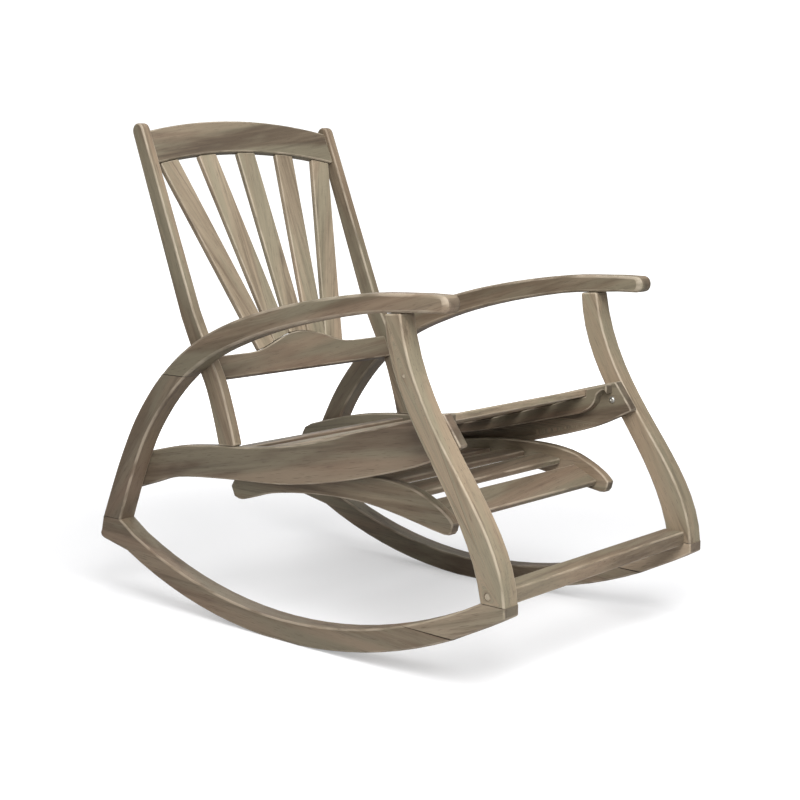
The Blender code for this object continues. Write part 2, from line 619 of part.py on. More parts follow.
def bolt(name, y, z, far_x, head_x, sign, look):
    """A shank from far_x to the face at head_x, and a low round head on that face."""
    inward = -sign
    profile = [(far_x, BOLT_D / 2), (head_x + inward * GAP, BOLT_D / 2),
               (head_x + inward * GAP, BOLT_HEAD_D / 2),
               (head_x + inward * (GAP + 0.6 * BOLT_HEAD_T), BOLT_HEAD_D / 2),
               (head_x + inward * (GAP + BOLT_HEAD_T), BOLT_HEAD_D / 2 * 0.66)]
    turned(name, profile, y, z, look, sides=12)


def leaning(name, x_list_low, low_of, x_list_high, high_of, recess, thick, look):
    """A board in the plane of the back: its outline goes along the lower and the upper edge."""
    lean = math.atan(PANEL_SLOPE)
    normal = (math.cos(lean), -math.sin(lean))
    outline = [(x, low_of(x)) for x in x_list_low] + [(x, high_of(x)) for x in x_list_high[::-1]]
    front, rear = [], []
    for x, z in outline:
        y = panel_y(z)
        front.append((x, y + normal[0] * recess, z + normal[1] * recess))
        rear.append((x, y + normal[0] * (recess + thick), z + normal[1] * (recess + thick)))
    return block(name, front, rear, look)


def spread(start, end, steps):
    return [lerp(start, end, i / steps) for i in range(steps + 1)]


def make_back():
    """Crest, lower rail and the fan of slats between them."""
    wood, dark, pale = (material("acacia_" + tag, colour)
                        for tag, colour in zip(("mid", "dark", "pale"), WOOD))
    half = X_RAIL_IN - GAP
    across = spread(-half, half, 14)
    leaning("crest_rail", across, crest_low, across, lambda x: crest_low(x) + CREST_DEPTH,
            0.0, BACK_RAIL_T, dark)
    humps = sorted(set(spread(-half, half, 4) + spread(-HUMP_HALF, HUMP_HALF, 14)))
    leaning("lower_back_rail", [-half, half], lambda x: LOWER_RAIL_Z, humps, lower_top,
            0.0, BACK_RAIL_T, dark)
    recess = (BACK_RAIL_T - BACK_SLAT_T) / 2
    foot_z = LOWER_RAIL_Z + LOWER_RAIL_DEPTH + HUMP_RISE / 2
    head_z = CREST_END_Z + 0.2 * CREST_RISE
    pitch = BACK_SLAT_FOOT * X_RAIL_IN
    fan = (BACK_SLAT_HEAD * X_RAIL_IN - pitch) / (head_z - foot_z)
    most = (BACK_SLAT_COUNT - 1) / 2
    for k in range(BACK_SLAT_COUNT):
        place = k - most
        width = BACK_SLAT_W * math.hypot(1, place * fan)

        def centre(z):
            return place * (pitch + fan * (z - foot_z))

        def end_xs(edge):
            """Where the slat's two long edges meet the edge of a rail."""
            found = []
            for way in (-1, 1):
                x = centre(edge(0.0)) + way * width / 2
                for _ in range(20):
                    x = centre(edge(x)) + way * width / 2
                found.append(x)
            return spread(found[0], found[1], 4)

        leaning("back_slat_%d" % (k + 1), end_xs(lower_top), lambda x: lower_top(x) + 2 * GAP,
                end_xs(crest_low), lambda x: crest_low(x) - 2 * GAP, recess, BACK_SLAT_T, pale)


def make_seat():
    """Slats that lie on the bearers, and the rail between the back posts that closes the seat."""
    pale = material("acacia_pale", WOOD[2])
    pitch = (LAST_SLAT_Y - SLAT_W - FIRST_SLAT_Y) / (SLAT_COUNT - 1)
    for k in range(SLAT_COUNT):
        front = FIRST_SLAT_Y + k * pitch
        a, b = ((y, look_up(SLAT_BED, y)) for y in (front, front + SLAT_W))
        angle = math.atan2(b[1] - a[1], b[0] - a[0])
        lift = SLAT_T / 2 + GAP + bulge(a, b)
        centre = ((a[0] + b[0]) / 2 - lift * math.sin(angle), (a[1] + b[1]) / 2 + lift * math.cos(angle))
        bar_across("seat_slat_%d" % (k + 1), X_RAIL_IN - GAP, centre, angle, SLAT_W, SLAT_T, pale)
    seat_y = BEARER_END_Y - 0.022
    top = look_up(SLAT_BED, seat_y) + SLAT_T
    bar_across("rear_seat_rail", X_BEAR_IN - GAP, (seat_y, top - 0.019), 0.0, 0.022, 0.038,
               material("acacia_dark", WOOD[1]))


def bulge(a, b):
    """How far the slats' bed stands above the straight line from a to b."""
    most = 0.0
    for i in range(1, 8):
        y = lerp(a[0], b[0], i / 8)
        most = max(most, look_up(SLAT_BED, y) - lerp(a[1], b[1], i / 8))
    return most


def make_front_stretcher():
    wood = material("acacia_mid", WOOD[0])
    centre = ((STRETCHER_FRONT_Y + STRETCHER_REAR_Y) / 2, (STRETCHER_TOP_Z + STRETCHER_LOW_Z) / 2)
    bar_across("front_stretcher", X_FRAME - GAP, centre, 0.0,
               STRETCHER_REAR_Y - STRETCHER_FRONT_Y, STRETCHER_TOP_Z - STRETCHER_LOW_Z, wood)


def make_footrest():
    """Two arched side rails, the slats between them and the four guide pins."""
    wood, dark, pale = (material("acacia_" + tag, colour)
                        for tag, colour in zip(("mid", "dark", "pale"), WOOD))
    steel = material("steel", STEEL, 0.35, 1.0)
    hook = bpy.data.objects.new("footrest_origin", None)
    bpy.context.scene.collection.objects.link(hook)
    hook.location = (0.0, PIN_REAR_Y, PIN_REAR_Z)
    pieces = []
    reach = X_FOOT_IN - GAP
    for side, sign in SIDES:
        rail = board("footrest_rail_" + side, FOOT_TOP + FOOT_UNDER[::-1],
                     sign * X_FOOT_OUT, sign * X_FOOT_IN, wood)
        pieces.append(rail)
        for tag, y in (("rear", PIN_REAR_Y), ("front", PIN_FRONT_Y)):
            z = PIN_REAR_Z + FOOT_SLOPE * (PIN_REAR_Y - y)
            drill(rail, "pin_%s_%s" % (tag, side), y, z, sign * (X_FOOT_OUT + 0.01),
                  sign * (X_FOOT_IN + 0.005), PIN_D + 2 * GAP)
            pin = turned("guide_pin_%s_%s" % (tag, side),
                         [(sign * (X_FOOT_IN + 0.005 + GAP), PIN_D / 2),
                          (sign * (X_RAIL_IN + GROOVE_DEPTH - GROOVE_PLAY), PIN_D / 2)],
                         y, z, steel, sides=12)
            pieces.append(pin)
    for k in range(FOOT_SLAT_COUNT):
        front = FOOT_SLAT_Y + k * FOOT_SLAT_PITCH
        rear = front + FOOT_SLAT_W
        a = (front, look_up(FOOT_TOP, front) - FOOT_SLAT_DROP)
        b = (rear, look_up(FOOT_TOP, rear) - FOOT_SLAT_DROP)
        angle = math.atan2(b[1] - a[1], b[0] - a[0])
        centre = ((a[0] + b[0]) / 2 + FOOT_SLAT_T / 2 * math.sin(angle),
                  (a[1] + b[1]) / 2 - FOOT_SLAT_T / 2 * math.cos(angle))
        pieces.append(bar_across("footrest_slat_%d" % (k + 1), reach, centre, angle,
                                 math.dist(a, b), FOOT_SLAT_T, pale))
    pieces.append(bar_across("footrest_rear_rail", reach, (0.168, 0.257), 0.0, 0.021, 0.026, dark))
    for piece in pieces:
        piece.parent = hook
        piece.matrix_parent_inverse = Matrix.Translation(-hook.location)


def main():
    for old in list(bpy.data.objects):
        bpy.data.objects.remove(old, do_unlink=True)
    for side, sign in SIDES:
        make_side(side, sign)
    make_front_stretcher()
    make_back()
    make_seat()
    make_footrest()
    for piece in bpy.data.objects:       # the middle of the chair's length stands over the origin
        if piece.parent is None:
            piece.location.y -= (TOE_Y + HEEL_Y) / 2
    bpy.context.view_layer.update()


main()
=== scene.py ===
# %% [markdown]
# # A weathered rocking chair with a sliding footrest
#
# The working model already knows every board, bolt and joint of this chair. This lesson dresses it:
# each board is cut again with eased arrises, given its own piece of timber to be sawn from, and oiled
# and weathered with nodes. We start by loading the working model. The finished chair may not grow out
# of it.

# %% Load the working model
import json
import math
import random

import bmesh
import bpy
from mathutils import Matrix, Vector
from mathutils.bvhtree import BVHTree

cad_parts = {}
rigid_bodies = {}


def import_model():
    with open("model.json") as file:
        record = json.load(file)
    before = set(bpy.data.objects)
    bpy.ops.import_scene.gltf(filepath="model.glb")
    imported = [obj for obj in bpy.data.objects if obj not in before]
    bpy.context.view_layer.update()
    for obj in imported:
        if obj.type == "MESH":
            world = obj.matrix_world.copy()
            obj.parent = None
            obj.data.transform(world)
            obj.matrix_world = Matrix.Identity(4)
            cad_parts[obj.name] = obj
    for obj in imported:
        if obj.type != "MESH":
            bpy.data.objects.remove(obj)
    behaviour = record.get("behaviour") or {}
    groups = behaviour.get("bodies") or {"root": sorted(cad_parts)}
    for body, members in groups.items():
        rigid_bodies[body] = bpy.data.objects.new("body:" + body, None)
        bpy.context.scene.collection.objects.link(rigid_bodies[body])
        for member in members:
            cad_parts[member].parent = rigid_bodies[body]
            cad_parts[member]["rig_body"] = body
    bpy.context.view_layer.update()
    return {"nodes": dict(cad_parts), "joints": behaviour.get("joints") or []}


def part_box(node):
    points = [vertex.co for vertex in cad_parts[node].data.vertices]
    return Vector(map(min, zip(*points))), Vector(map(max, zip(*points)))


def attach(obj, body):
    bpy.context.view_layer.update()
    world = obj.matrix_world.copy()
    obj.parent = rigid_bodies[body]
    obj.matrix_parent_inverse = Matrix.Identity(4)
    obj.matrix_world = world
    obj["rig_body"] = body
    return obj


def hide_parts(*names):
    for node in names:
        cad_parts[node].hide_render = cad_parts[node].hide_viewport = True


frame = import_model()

# %% [markdown]
# ## Reading a board
#
# A joiner describes a board by its broad face, its outline and its thickness. The working model holds
# closed solids, so we look for the largest flat face of each solid. Triangles that lie in one plane
# are gathered, and the edges that only one of them uses are the outline. Bolt holes leave small
# loops inside the big one, and the longest loop is the board's own edge.

# %% Find the broad face and walk round it
WELD = 1e-5              # corners closer than this are one corner
PARALLEL = 0.9998        # the least cosine between the normals of faces in one plane
LEVEL = 2e-4             # and the most that such faces may differ in height
TRIES = 10               # how many of the largest faces are tried
LOOK_UP = 0.02           # how much a face that looks up is preferred to its opposite


def welded(name):
    """The closed solid of a working piece, with its split corners joined."""
    solid = bmesh.new()
    solid.from_mesh(frame["nodes"][name].data)
    bmesh.ops.remove_doubles(solid, verts=solid.verts, dist=WELD)
    return solid


def plane_of(solid, seed):
    """Every face that lies in the seed's plane."""
    n, d = seed.normal.copy(), seed.normal.dot(seed.verts[0].co)
    return [f for f in solid.faces
            if f.normal.dot(n) > PARALLEL and abs(n.dot(f.verts[0].co) - d) < LEVEL]


def loops_round(faces):
    """The closed lines of corners round a patch of faces, longest first."""
    patch, after = set(faces), {}
    for face in faces:
        for loop in face.loops:
            if not any(f in patch and f is not face for f in loop.edge.link_faces):
                after.setdefault(loop.vert, []).append(loop.link_loop_next.vert)
    lines = []
    while after:
        start = next(iter(after))
        line, here = [start], start
        while here in after:
            onward = after[here].pop()
            if not after[here]:
                del after[here]
            if onward is start:
                break
            line.append(onward)
            here = onward
        lines.append([v.co.copy() for v in line])
    return sorted(lines, key=lambda c: -sum((a - b).length for a, b in zip(c, c[1:] + c[:1])))


def area_of(patch):
    """The area of a patch, a little larger where the patch looks up."""
    return sum(f.calc_area() for f in patch) * (1 + LOOK_UP * patch[0].normal.z)


def broad_face(name):
    """(outline corners, outward normal, thickness behind the face) of a board."""
    solid = welded(name)
    seeds = sorted(solid.faces, key=lambda f: -f.calc_area())[:TRIES]
    best = max((plane_of(solid, seed) for seed in seeds), key=area_of)
    normal = best[0].normal.copy()
    reach = [normal.dot(v.co) for v in solid.verts]
    outline = loops_round(best)[0]
    solid.free()
    return outline, normal, max(reach) - min(reach)


outline, normal, thick = broad_face("front_leg_right")
print("front leg: %d corners round, %.1f mm thick" % (len(outline), 1000 * thick))

# %% [markdown]
# ## Easing the arrises
#
# No board leaves a workshop with razor edges: a router or sandpaper rounds them, and years of weather
# take a little more. A Bevel modifier could do this, but it stops at the shortest edge of a fine
# curve. Instead each board is lofted: its outline is drawn several times through the thickness,
# pulled in a little near both faces, so the rounding is real geometry with a clean row of quads.
# Where two boards meet flush, the edge is hardly eased, so a joint shows as a thin dark line.

# %% Pull an outline in by a distance of its own at each edge
NEARLY_STRAIGHT = 0.08           # below this sine, two edges are taken as one smooth line
CORNER = math.radians(26)        # a turn sharper than this is a corner
CORNER_SHARE = 0.45              # the most of an edge that a rounded corner uses up
CORNER_STEPS = 4


def inset(outline, depths):
    """The outline moved inwards; depths[i] belongs to the edge from corner i to the next."""
    moved = []
    for i, p in enumerate(outline):
        a = (p - outline[i - 1]).normalized()
        b = (outline[(i + 1) % len(outline)] - p).normalized()
        na, nb, da, db = Vector((-a.y, a.x)), Vector((-b.y, b.x)), depths[i - 1], depths[i]
        turn = a.x * b.y - a.y * b.x
        if abs(turn) < NEARLY_STRAIGHT:
            moved.append(p + (na + nb).normalized() * (da + db) / 2)
        else:
            gap = nb * db - na * da
            moved.append(p + na * da + a * ((gap.x * b.y - gap.y * b.x) / turn))
    return moved


def turned(v, angle):
    """A plane vector, turned to the left by an angle."""
    c, s = math.cos(angle), math.sin(angle)
    return Vector((v.x * c - v.y * s, v.x * s + v.y * c))


def soften(outline, flush, radius):
    """The outline with round corners, except where a flush joint starts.

    Returns the corners, which of their edges are flush, and which are newly made.
    """
    corners, marks, new = [], [], []
    n = len(outline)
    for i, p in enumerate(outline):
        before, after = outline[i - 1], outline[(i + 1) % n]
        a, b = (p - before).normalized(), (after - p).normalized()
        angle = math.atan2(a.x * b.y - a.y * b.x, a.dot(b))
        if abs(angle) < CORNER or flush[i - 1] or flush[i]:
            corners.append(p)
            marks.append(flush[i])
            new.append(False)
            continue
        back = radius * math.tan(abs(angle) / 2)
        if back > CORNER_SHARE * min((p - before).length, (after - p).length):
            corners.append(p)
            marks.append(False)
            new.append(False)
            continue
        start = p - a * back
        centre = start + Vector((-a.y, a.x)) * math.copysign(radius, angle)
        for k in range(CORNER_STEPS + 1):
            corners.append(centre + turned(start - centre, angle * k / CORNER_STEPS))
            marks.append(False)
            new.append(k < CORNER_STEPS)
    return corners, marks, new


square = [Vector(c) for c in ((0, 0), (0.1, 0), (0.1, 0.05), (0, 0.05))]
rounded, _, _ = soften(square, [False] * 4, 0.003)
print("a square edge of 4 corners becomes", len(rounded), "; inset corner:",
      [round(1000 * c, 2) for c in inset(square, [0.002] * 4)[0]], "mm")

# %% [markdown]
# ## The board itself
#
# Besides its shape, every board carries what the finish needs to know about it: where each point lies
# in the log it was sawn from, which faces are eased arrises, which are end grain, how pinkish or
# grey this board came out of the stack, and how much darker it is painted, mostly as painted shade
# where it lies in shadow and partly as weathering. These are stored as mesh attributes, and the shader
# reads them. The grain runs straight along the longest line of each board, as it does in a curved piece
# that is sawn out of a straight plank.

# %% Cut one board
chance = random.Random(7)
FINISH = {}              # filled in below: a material for each material slot
EASE_STEPS = 4           # how many outlines make the rounding of one arris
CORNER_EASE = 1.3        # corners are rounded by this much more than arrises
SEAM = 0.0005            # a flush joint is eased by this much only
MEETING = 0.0009         # boards closer than this meet
CREASE = math.radians(42)        # edges that turn more than this look sharp
NOSE_REACH = 2.6         # the rounding of a tip dies out this many radii behind it
NOSE_STEPS = 5           # edges in each half of a tip's arc
SHADE_AND_AGE_BY_KIND = {                 # how much darker each board is painted: mostly painted shade on the bow, the rear rocker and the boards under the seat and at the back, partly weathering
    "arm": 0.36, "bow": 0.72, "front_leg": 0.0, "rocker_rear": 0.42, "rocker_front": 0.10,
    "seat_rail": 0.28, "seat_bearer": 0.45, "back_post": 0.20, "crest_rail": 0.30,
    "lower_back_rail": 0.52, "rear_seat_rail": 0.5, "front_stretcher": 0.20,
    "footrest_rail": 0.22, "footrest_slat": 0.55, "footrest_rear_rail": 0.5,
    "seat_slat": 0.15, "back_slat": 0.0}


def along_of(outline, normal):
    """The direction in which the board is longest."""
    middle = sum(outline, Vector()) / len(outline)
    far = max(outline, key=lambda p: (p - middle).length)
    other = max(outline, key=lambda p: (p - far).length)
    d = other - far
    return (d - normal * d.dot(normal)).normalized()


def add_piece(name, build, node, slot, body=None):
    """Makes the mesh a piece that rides with its body, in place of a working node if it has one."""
    bmesh.ops.recalc_face_normals(build, faces=build.faces)
    mesh = bpy.data.meshes.new(name)
    build.to_mesh(mesh)
    build.free()
    mesh.shade_smooth()
    mesh.set_sharp_from_angle(angle=CREASE)
    piece = bpy.data.objects.new(name, mesh)
    bpy.context.scene.collection.objects.link(piece)
    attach(piece, body or frame["nodes"][node]["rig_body"])
    if node:
        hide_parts(node)
    mesh.materials.append(FINISH[slot])
    return piece


def even(piece):
    """Keeps the broad faces flat in the light while the arrises stay round."""
    step = piece.modifiers.new("even shading", "WEIGHTED_NORMAL")
    step.keep_sharp = True
    return piece


def touches(point, trees):
    return any((tree.find_nearest(point)[3] or 1.0) < MEETING for tree in trees)


def lerp(a, b, t):
    return a + (b - a) * t


def shade_and_age_of(node):
    """How much darker a board is painted, mostly as painted shade, by its own name or by the name that
    it shares with its twins.
    """
    return SHADE_AND_AGE_BY_KIND.get(node.rsplit("_", 1)[0], SHADE_AND_AGE_BY_KIND.get(node, 0.0))


def with_nose(outline, node):
    """The arm's outline with its round front end, which the broad face stops short of."""
    tip_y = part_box(node)[0].y
    pair = sorted(outline, key=lambda p: p.y)[:2]
    i, j = sorted(outline.index(p) for p in pair)
    if j - i != 1:
        i, j = j, i
    a, b = outline[i], outline[j]
    half, sag = (a - b).length / 2, (a.y + b.y) / 2 - tip_y
    radius = (half * half + sag * sag) / (2 * sag)
    centre = Vector((a.x, tip_y + radius, (a.z + b.z) / 2))
    swing = math.asin(min(1.0, half / radius))
    way = 1 if a.z > b.z else -1
    arc = [centre + Vector((0, -math.cos(s), way * math.sin(s))) * radius
           for s in (swing * (1 - k / NOSE_STEPS) for k in range(1, 2 * NOSE_STEPS))]
    return outline[:i + 1] + arc + outline[i + 1:]


def board(node, ease, tone, slot, meets=(), nose=None):
    """A board with eased arrises.

    meets names the pieces that it joins flush. nose is the radius, in metres, to which an arm's tip
    is rounded in plan.
    """
    outline, normal, thick = broad_face(node)
    grain = along_of(outline, normal)
    if nose:
        outline = with_nose(outline, node)
    across = normal.cross(grain)
    origin = sum(outline, Vector()) / len(outline)
    flat = [Vector(((p - origin).dot(grain), (p - origin).dot(across))) for p in outline]
    if sum(p.x * q.y - q.x * p.y for p, q in zip(flat, flat[1:] + flat[:1])) < 0:
        flat, outline = flat[::-1], outline[::-1]
    trees = []
    for other in meets:
        solid = welded(other)
        trees.append(BVHTree.FromBMesh(solid))
        solid.free()
    flush = [touches((p + q) / 2, trees) for p, q in zip(outline, outline[1:] + outline[:1])]
    corners, flush, new = soften(flat, flush, CORNER_EASE * ease)
    eases = [SEAM if f else ease for f in flush]

    levels = []
    for k in range(EASE_STEPS):
        t = math.radians(90) * k / (EASE_STEPS - 1)
        levels.append((ease * (1 - math.cos(t)), 1 - math.sin(t)))
    if nose:
        levels += [(lerp(ease, nose, s), 0.0) for s in (0.4, 1.0)]
    levels += [(thick - depth, pull) for depth, pull in levels[::-1]]

    build = bmesh.new()
    log = build.verts.layers.float_vector.new("grain")
    shade = build.verts.layers.float.new("tone")
    shade_and_age_layer = build.verts.layers.float.new("shade_and_age")
    worn = build.loops.layers.float.new("arris")
    sawn = build.loops.layers.float.new("end_grain")
    shift = Vector((chance.uniform(0, 40), chance.uniform(-0.05, 0.05), chance.uniform(0.03, 0.09)))
    tip_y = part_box(node)[0].y
    rings = []
    for depth, pull in levels:
        ring = []
        for c in inset(corners, [e * pull for e in eases]):
            place = origin + grain * c.x + across * c.y - normal * depth
            if nose:
                side = max(0.0, abs(depth - thick / 2) - (thick / 2 - nose))
                back = nose - math.sqrt(max(0.0, nose * nose - side * side))
                place.y += back * max(0.0, 1 - (place.y - tip_y) / (NOSE_REACH * nose)) ** 2
            vert = build.verts.new(place)
            vert[log] = shift + Vector((c.x, c.y, depth))
            vert[shade] = tone
            # the painted shade, with some weathering, that darkens this board
            vert[shade_and_age_layer] = shade_and_age_of(node)
            ring.append(vert)
        rings.append(ring)
    build.faces.new(rings[0])
    build.faces.new(rings[-1][::-1])
    last = len(levels) - 1
    for j, (a, b) in enumerate(zip(rings, rings[1:])):
        curved = j < EASE_STEPS - 1 or j > last - EASE_STEPS
        for i in range(len(corners)):
            k = (i + 1) % len(corners)
            face = build.faces.new((a[i], b[i], b[k], a[k]))
            for loop in face.loops:
                loop[worn] = -1.0 if flush[i] and curved else float(curved or new[i])
    build.normal_update()
    for face in build.faces:
        for loop in face.loops:
            loop[sawn] = abs(face.normal.dot(grain)) ** 2
    return even(add_piece(node + "_board", build, node, slot))


print("a board is drawn", 2 * EASE_STEPS, "times through its thickness")

# %% [markdown]
# ## Writing shader maths as maths
#
# The finish mixes a dozen patterns. Wiring that by hand hides the thought behind it, so a small class
# wraps an output socket: writing 1 - worn or rings * 0.4 adds the Math node for us. Colours are mixed
# with Mix nodes, because a Math node would turn them grey.

# %% A socket that can be added and multiplied
class Value:
    def __init__(self, graph, socket):
        self.graph, self.socket = graph, socket

    def math(self, operation, a, b=None):
        sockets = {0: a} if b is None else {0: a, 1: b}
        return self.graph.node("ShaderNodeMath", {"operation": operation}, sockets)

    def __add__(self, other): return self.math("ADD", self, other)
    def __radd__(self, other): return self.math("ADD", other, self)
    def __sub__(self, other): return self.math("SUBTRACT", self, other)
    def __rsub__(self, other): return self.math("SUBTRACT", other, self)
    def __mul__(self, other): return self.math("MULTIPLY", self, other)
    def __rmul__(self, other): return self.math("MULTIPLY", other, self)
    def __pow__(self, other): return self.math("POWER", self, other)
    def wave(self): return self.math("SINE", self)
    def at_least(self, low): return self.math("MAXIMUM", self, low)

    def between(self, low, high):
        """0 below low, 1 above high, and a smooth step from one to the other."""
        return self.graph.node("ShaderNodeMapRange", {"interpolation_type": "SMOOTHSTEP"},
                               {"Value": self, "From Min": low, "From Max": high})


class Graph:
    """The nodes of one material."""

    def __init__(self, name):
        self.material = bpy.data.materials.new(name)
        self.material.use_nodes = True
        self.tree = self.material.node_tree
        self.shader = self.tree.nodes["Principled BSDF"]

    def node(self, kind, settings=None, sockets=None, out=0):
        made = self.tree.nodes.new(kind)
        for key, value in (settings or {}).items():
            setattr(made, key, value)
        self.fill(made, sockets or {})
        return Value(self, made.outputs[out])

    def fill(self, made, sockets):
        for key, value in sockets.items():
            if isinstance(value, Value):
                self.tree.links.new(value.socket, made.inputs[key])
            else:
                made.inputs[key].default_value = value

    def mix(self, a, b, share):
        """Colour a turning into colour b; 6 and 7 are the Mix node's two colour sockets."""
        return self.node("ShaderNodeMix", {"data_type": "RGBA"}, {0: share, 6: a, 7: b}, out=2)

    def scaled(self, vector, *by):
        return self.node("ShaderNodeVectorMath", {"operation": "MULTIPLY"}, {0: vector, 1: by})

    def noise(self, vector, detail=2.0, rough=0.5):
        return self.node("ShaderNodeTexNoise", {"noise_dimensions": "3D"},
                         {"Vector": vector, "Scale": 1.0, "Detail": detail, "Roughness": rough})

    def attribute(self, name, out=2):
        return self.node("ShaderNodeAttribute", {"attribute_name": name}, out=out)


print("operators ready: + - * ** and wave, at_least, between")

# %% [markdown]
# ## Weathered acacia
#
# Acacia has a lively figure: growth rings a few millimetres apart that bend round knots, long darker
# streaks, and pores that show as short dark dashes. Oil and weather turn it grey-brown, and where
# hands and feet rub an arris, the pale wood comes through. Each of these is one pattern in the
# board's own grain, stretched far along the fibres. The rings are circles about the heart of the log,
# pushed about by noise, so a board shows straight lines or cathedral arches as it would when sawn.
# Each board also carries a darkness value, mostly painted shade for boards that lie in shadow and
# partly weathering, which darkens its figure and mixes in the deep colour.

# %% The wood finish
RING = 0.0072            # from one growth ring to the next
RING_WANDER = 0.050      # how far noise pushes the rings about
KNOT_BULGE = 0.020       # and how far a knot does
SLOTS = {                # pale wood, dark wood, for each material slot
    "acacia_mid": ((0.318, 0.252, 0.170), (0.120, 0.086, 0.053)),
    "acacia_dark": ((0.250, 0.197, 0.133), (0.088, 0.063, 0.040)),
    "acacia_pale": ((0.360, 0.292, 0.204), (0.138, 0.102, 0.065)),
}
WORN = (0.52, 0.44, 0.34, 1.0)           # bare wood on a rubbed arris
GREY = (0.226, 0.203, 0.138, 1.0)        # where rain and sun have bleached it
PINK = (0.285, 0.192, 0.130, 1.0)        # heartwood
DEEP = (0.050, 0.035, 0.024, 1.0)        # pores, knots, end grain, dark streaks, and the painted shade of boards in shadow


def weathered(slot, pale, dark):
    """Oiled acacia that has stood outdoors, between a pale and a dark wood."""
    g = Graph("weathered " + slot.replace("_", " "))
    grain = g.attribute("grain", out=1)
    tone, shade_and_age = g.attribute("tone"), g.attribute("shade_and_age")
    arris, end = g.attribute("arris"), g.attribute("end_grain")

    knot = g.node("ShaderNodeTexVoronoi", {"feature": "F1"},
                  {"Vector": g.scaled(grain, 2.6, 9.0, 9.0), "Scale": 1.0, "Randomness": 1.0})
    near = 1 - knot.between(0.05, 0.30)
    parts = g.node("ShaderNodeSeparateXYZ", None, {0: grain})
    across, through = (Value(g, out) for out in parts.socket.node.outputs[1:])
    wander = g.noise(g.scaled(grain, 2.2, 12, 12), detail=3)
    heart = ((across * across + through * through) ** 0.5
             + (wander - 0.5) * RING_WANDER + near * KNOT_BULGE)
    rings = ((heart * (2 * math.pi / RING)).wave() + 1) * 0.5

    drift = g.noise(g.scaled(grain, 1.3, 16, 16), detail=2)
    streak = g.noise(g.scaled(grain, 2.4, 85, 85), detail=4, rough=0.62)
    fibre = g.noise(g.scaled(grain, 9, 420, 420), detail=4, rough=0.7)
    pores = g.noise(g.scaled(grain, 34, 800, 800), detail=1).between(0.62, 0.72)

    patch = g.noise(g.scaled(grain, 5.0, 24, 24), detail=4, rough=0.55)
    # a board's painted shade, with some weathering, darkens its figure here
    figure = (drift * 0.62 + patch * 0.42 + streak * 0.46 + rings * 0.07 + fibre * 0.22
              - shade_and_age * 0.55 - 0.34).between(0.22, 0.80)
    colour = g.mix((*dark, 1.0), (*pale, 1.0), figure)
    greyed = g.noise(g.scaled(grain, 3.1, 22, 22), detail=3).between(0.40, 0.60)
    colour = g.mix(colour, GREY, greyed * 0.62)
    colour = g.mix(colour, PINK, (drift.between(0.44, 0.60) * 0.6 + tone).at_least(0.0) * 0.62)
    dusk = 1 - streak.between(0.30, 0.46)
    # darker streaks, plus painted shade on boards that lie in shadow
    colour = g.mix(colour, DEEP, dusk * 0.30 + shade_and_age * 0.34)
    colour = g.mix(colour, DEEP, pores * 0.45)
    colour = g.mix(colour, DEEP, (1 - knot.between(0.03, 0.11)) * 0.75)
    rubbed = g.noise(g.scaled(grain, 14, 60, 60), detail=3).between(0.34, 0.62)
    colour = g.mix(colour, WORN, arris.at_least(0.0) * (0.04 + rubbed * 0.36))
    colour = g.mix(colour, DEEP, end.between(0.45, 0.95) * 0.55)
    colour = g.mix(colour, DEEP, (arris * -1.0).at_least(0.0) * 0.85)

    height = fibre * 0.5 + rings * 0.25 - pores * 1.2 + streak * 0.3
    bump = g.node("ShaderNodeBump", None, {"Strength": 0.30, "Distance": 0.0006, "Height": height})
    g.fill(g.shader, {"Base Color": colour, "Roughness": 0.74 - fibre * 0.22 + pores * 0.1,
                      "Normal": bump})
    return g.material


for slot, (pale, dark) in SLOTS.items():
    FINISH[slot] = weathered(slot, pale, dark)
print("wood finishes:", sorted(FINISH))

# %% [markdown]
# ## Zinc-plated steel
#
# The bolts and the footrest's guide pins are the only metal. Plated steel outdoors is never mirror
# bright: it dulls in cloudy patches, and a little brown starts where water sits.

# %% The steel finish
def dull_steel():
    """Plated steel, clouded and scratched, with a little rust."""
    g = Graph("dull zinc plated steel")
    place = g.node("ShaderNodeTexCoord", out=3)
    cloud = g.noise(g.scaled(place, 260, 260, 260), detail=4, rough=0.6)
    scratch = g.noise(g.scaled(place, 300, 2200, 2200), detail=2)
    rust = g.noise(g.scaled(place, 420, 420, 420), detail=5, rough=0.7).between(0.58, 0.70)
    colour = g.mix((0.46, 0.45, 0.42, 1.0), (0.66, 0.65, 0.61, 1.0), cloud)
    colour = g.mix(colour, (0.16, 0.085, 0.045, 1.0), rust * 0.6)
    bump = g.node("ShaderNodeBump", None, {"Strength": 0.25, "Distance": 0.0002,
                                           "Height": cloud * 0.5 + scratch * 0.5})
    g.fill(g.shader, {"Base Color": colour, "Roughness": 0.34 + cloud * 0.22 + rust * 0.3,
                      "Metallic": 1 - rust * 0.85, "Normal": bump})
    return g.material


FINISH["zinc_steel"] = dull_steel()
print("finishes:", sorted(FINISH))

# %% [markdown]
# ## The side frames
#
# Each side is one long hoop: an arm that turns down into a bow, a rocker in two lengths joined by a
# long slanted scarf, and a swept front leg between arm and rocker. The boards are 40 mm thick and
# their arrises are well rounded, most of all on the arm, where a hand rests. The tip of the arm is
# rounded both ways, so it is the one board that is also rounded in plan.

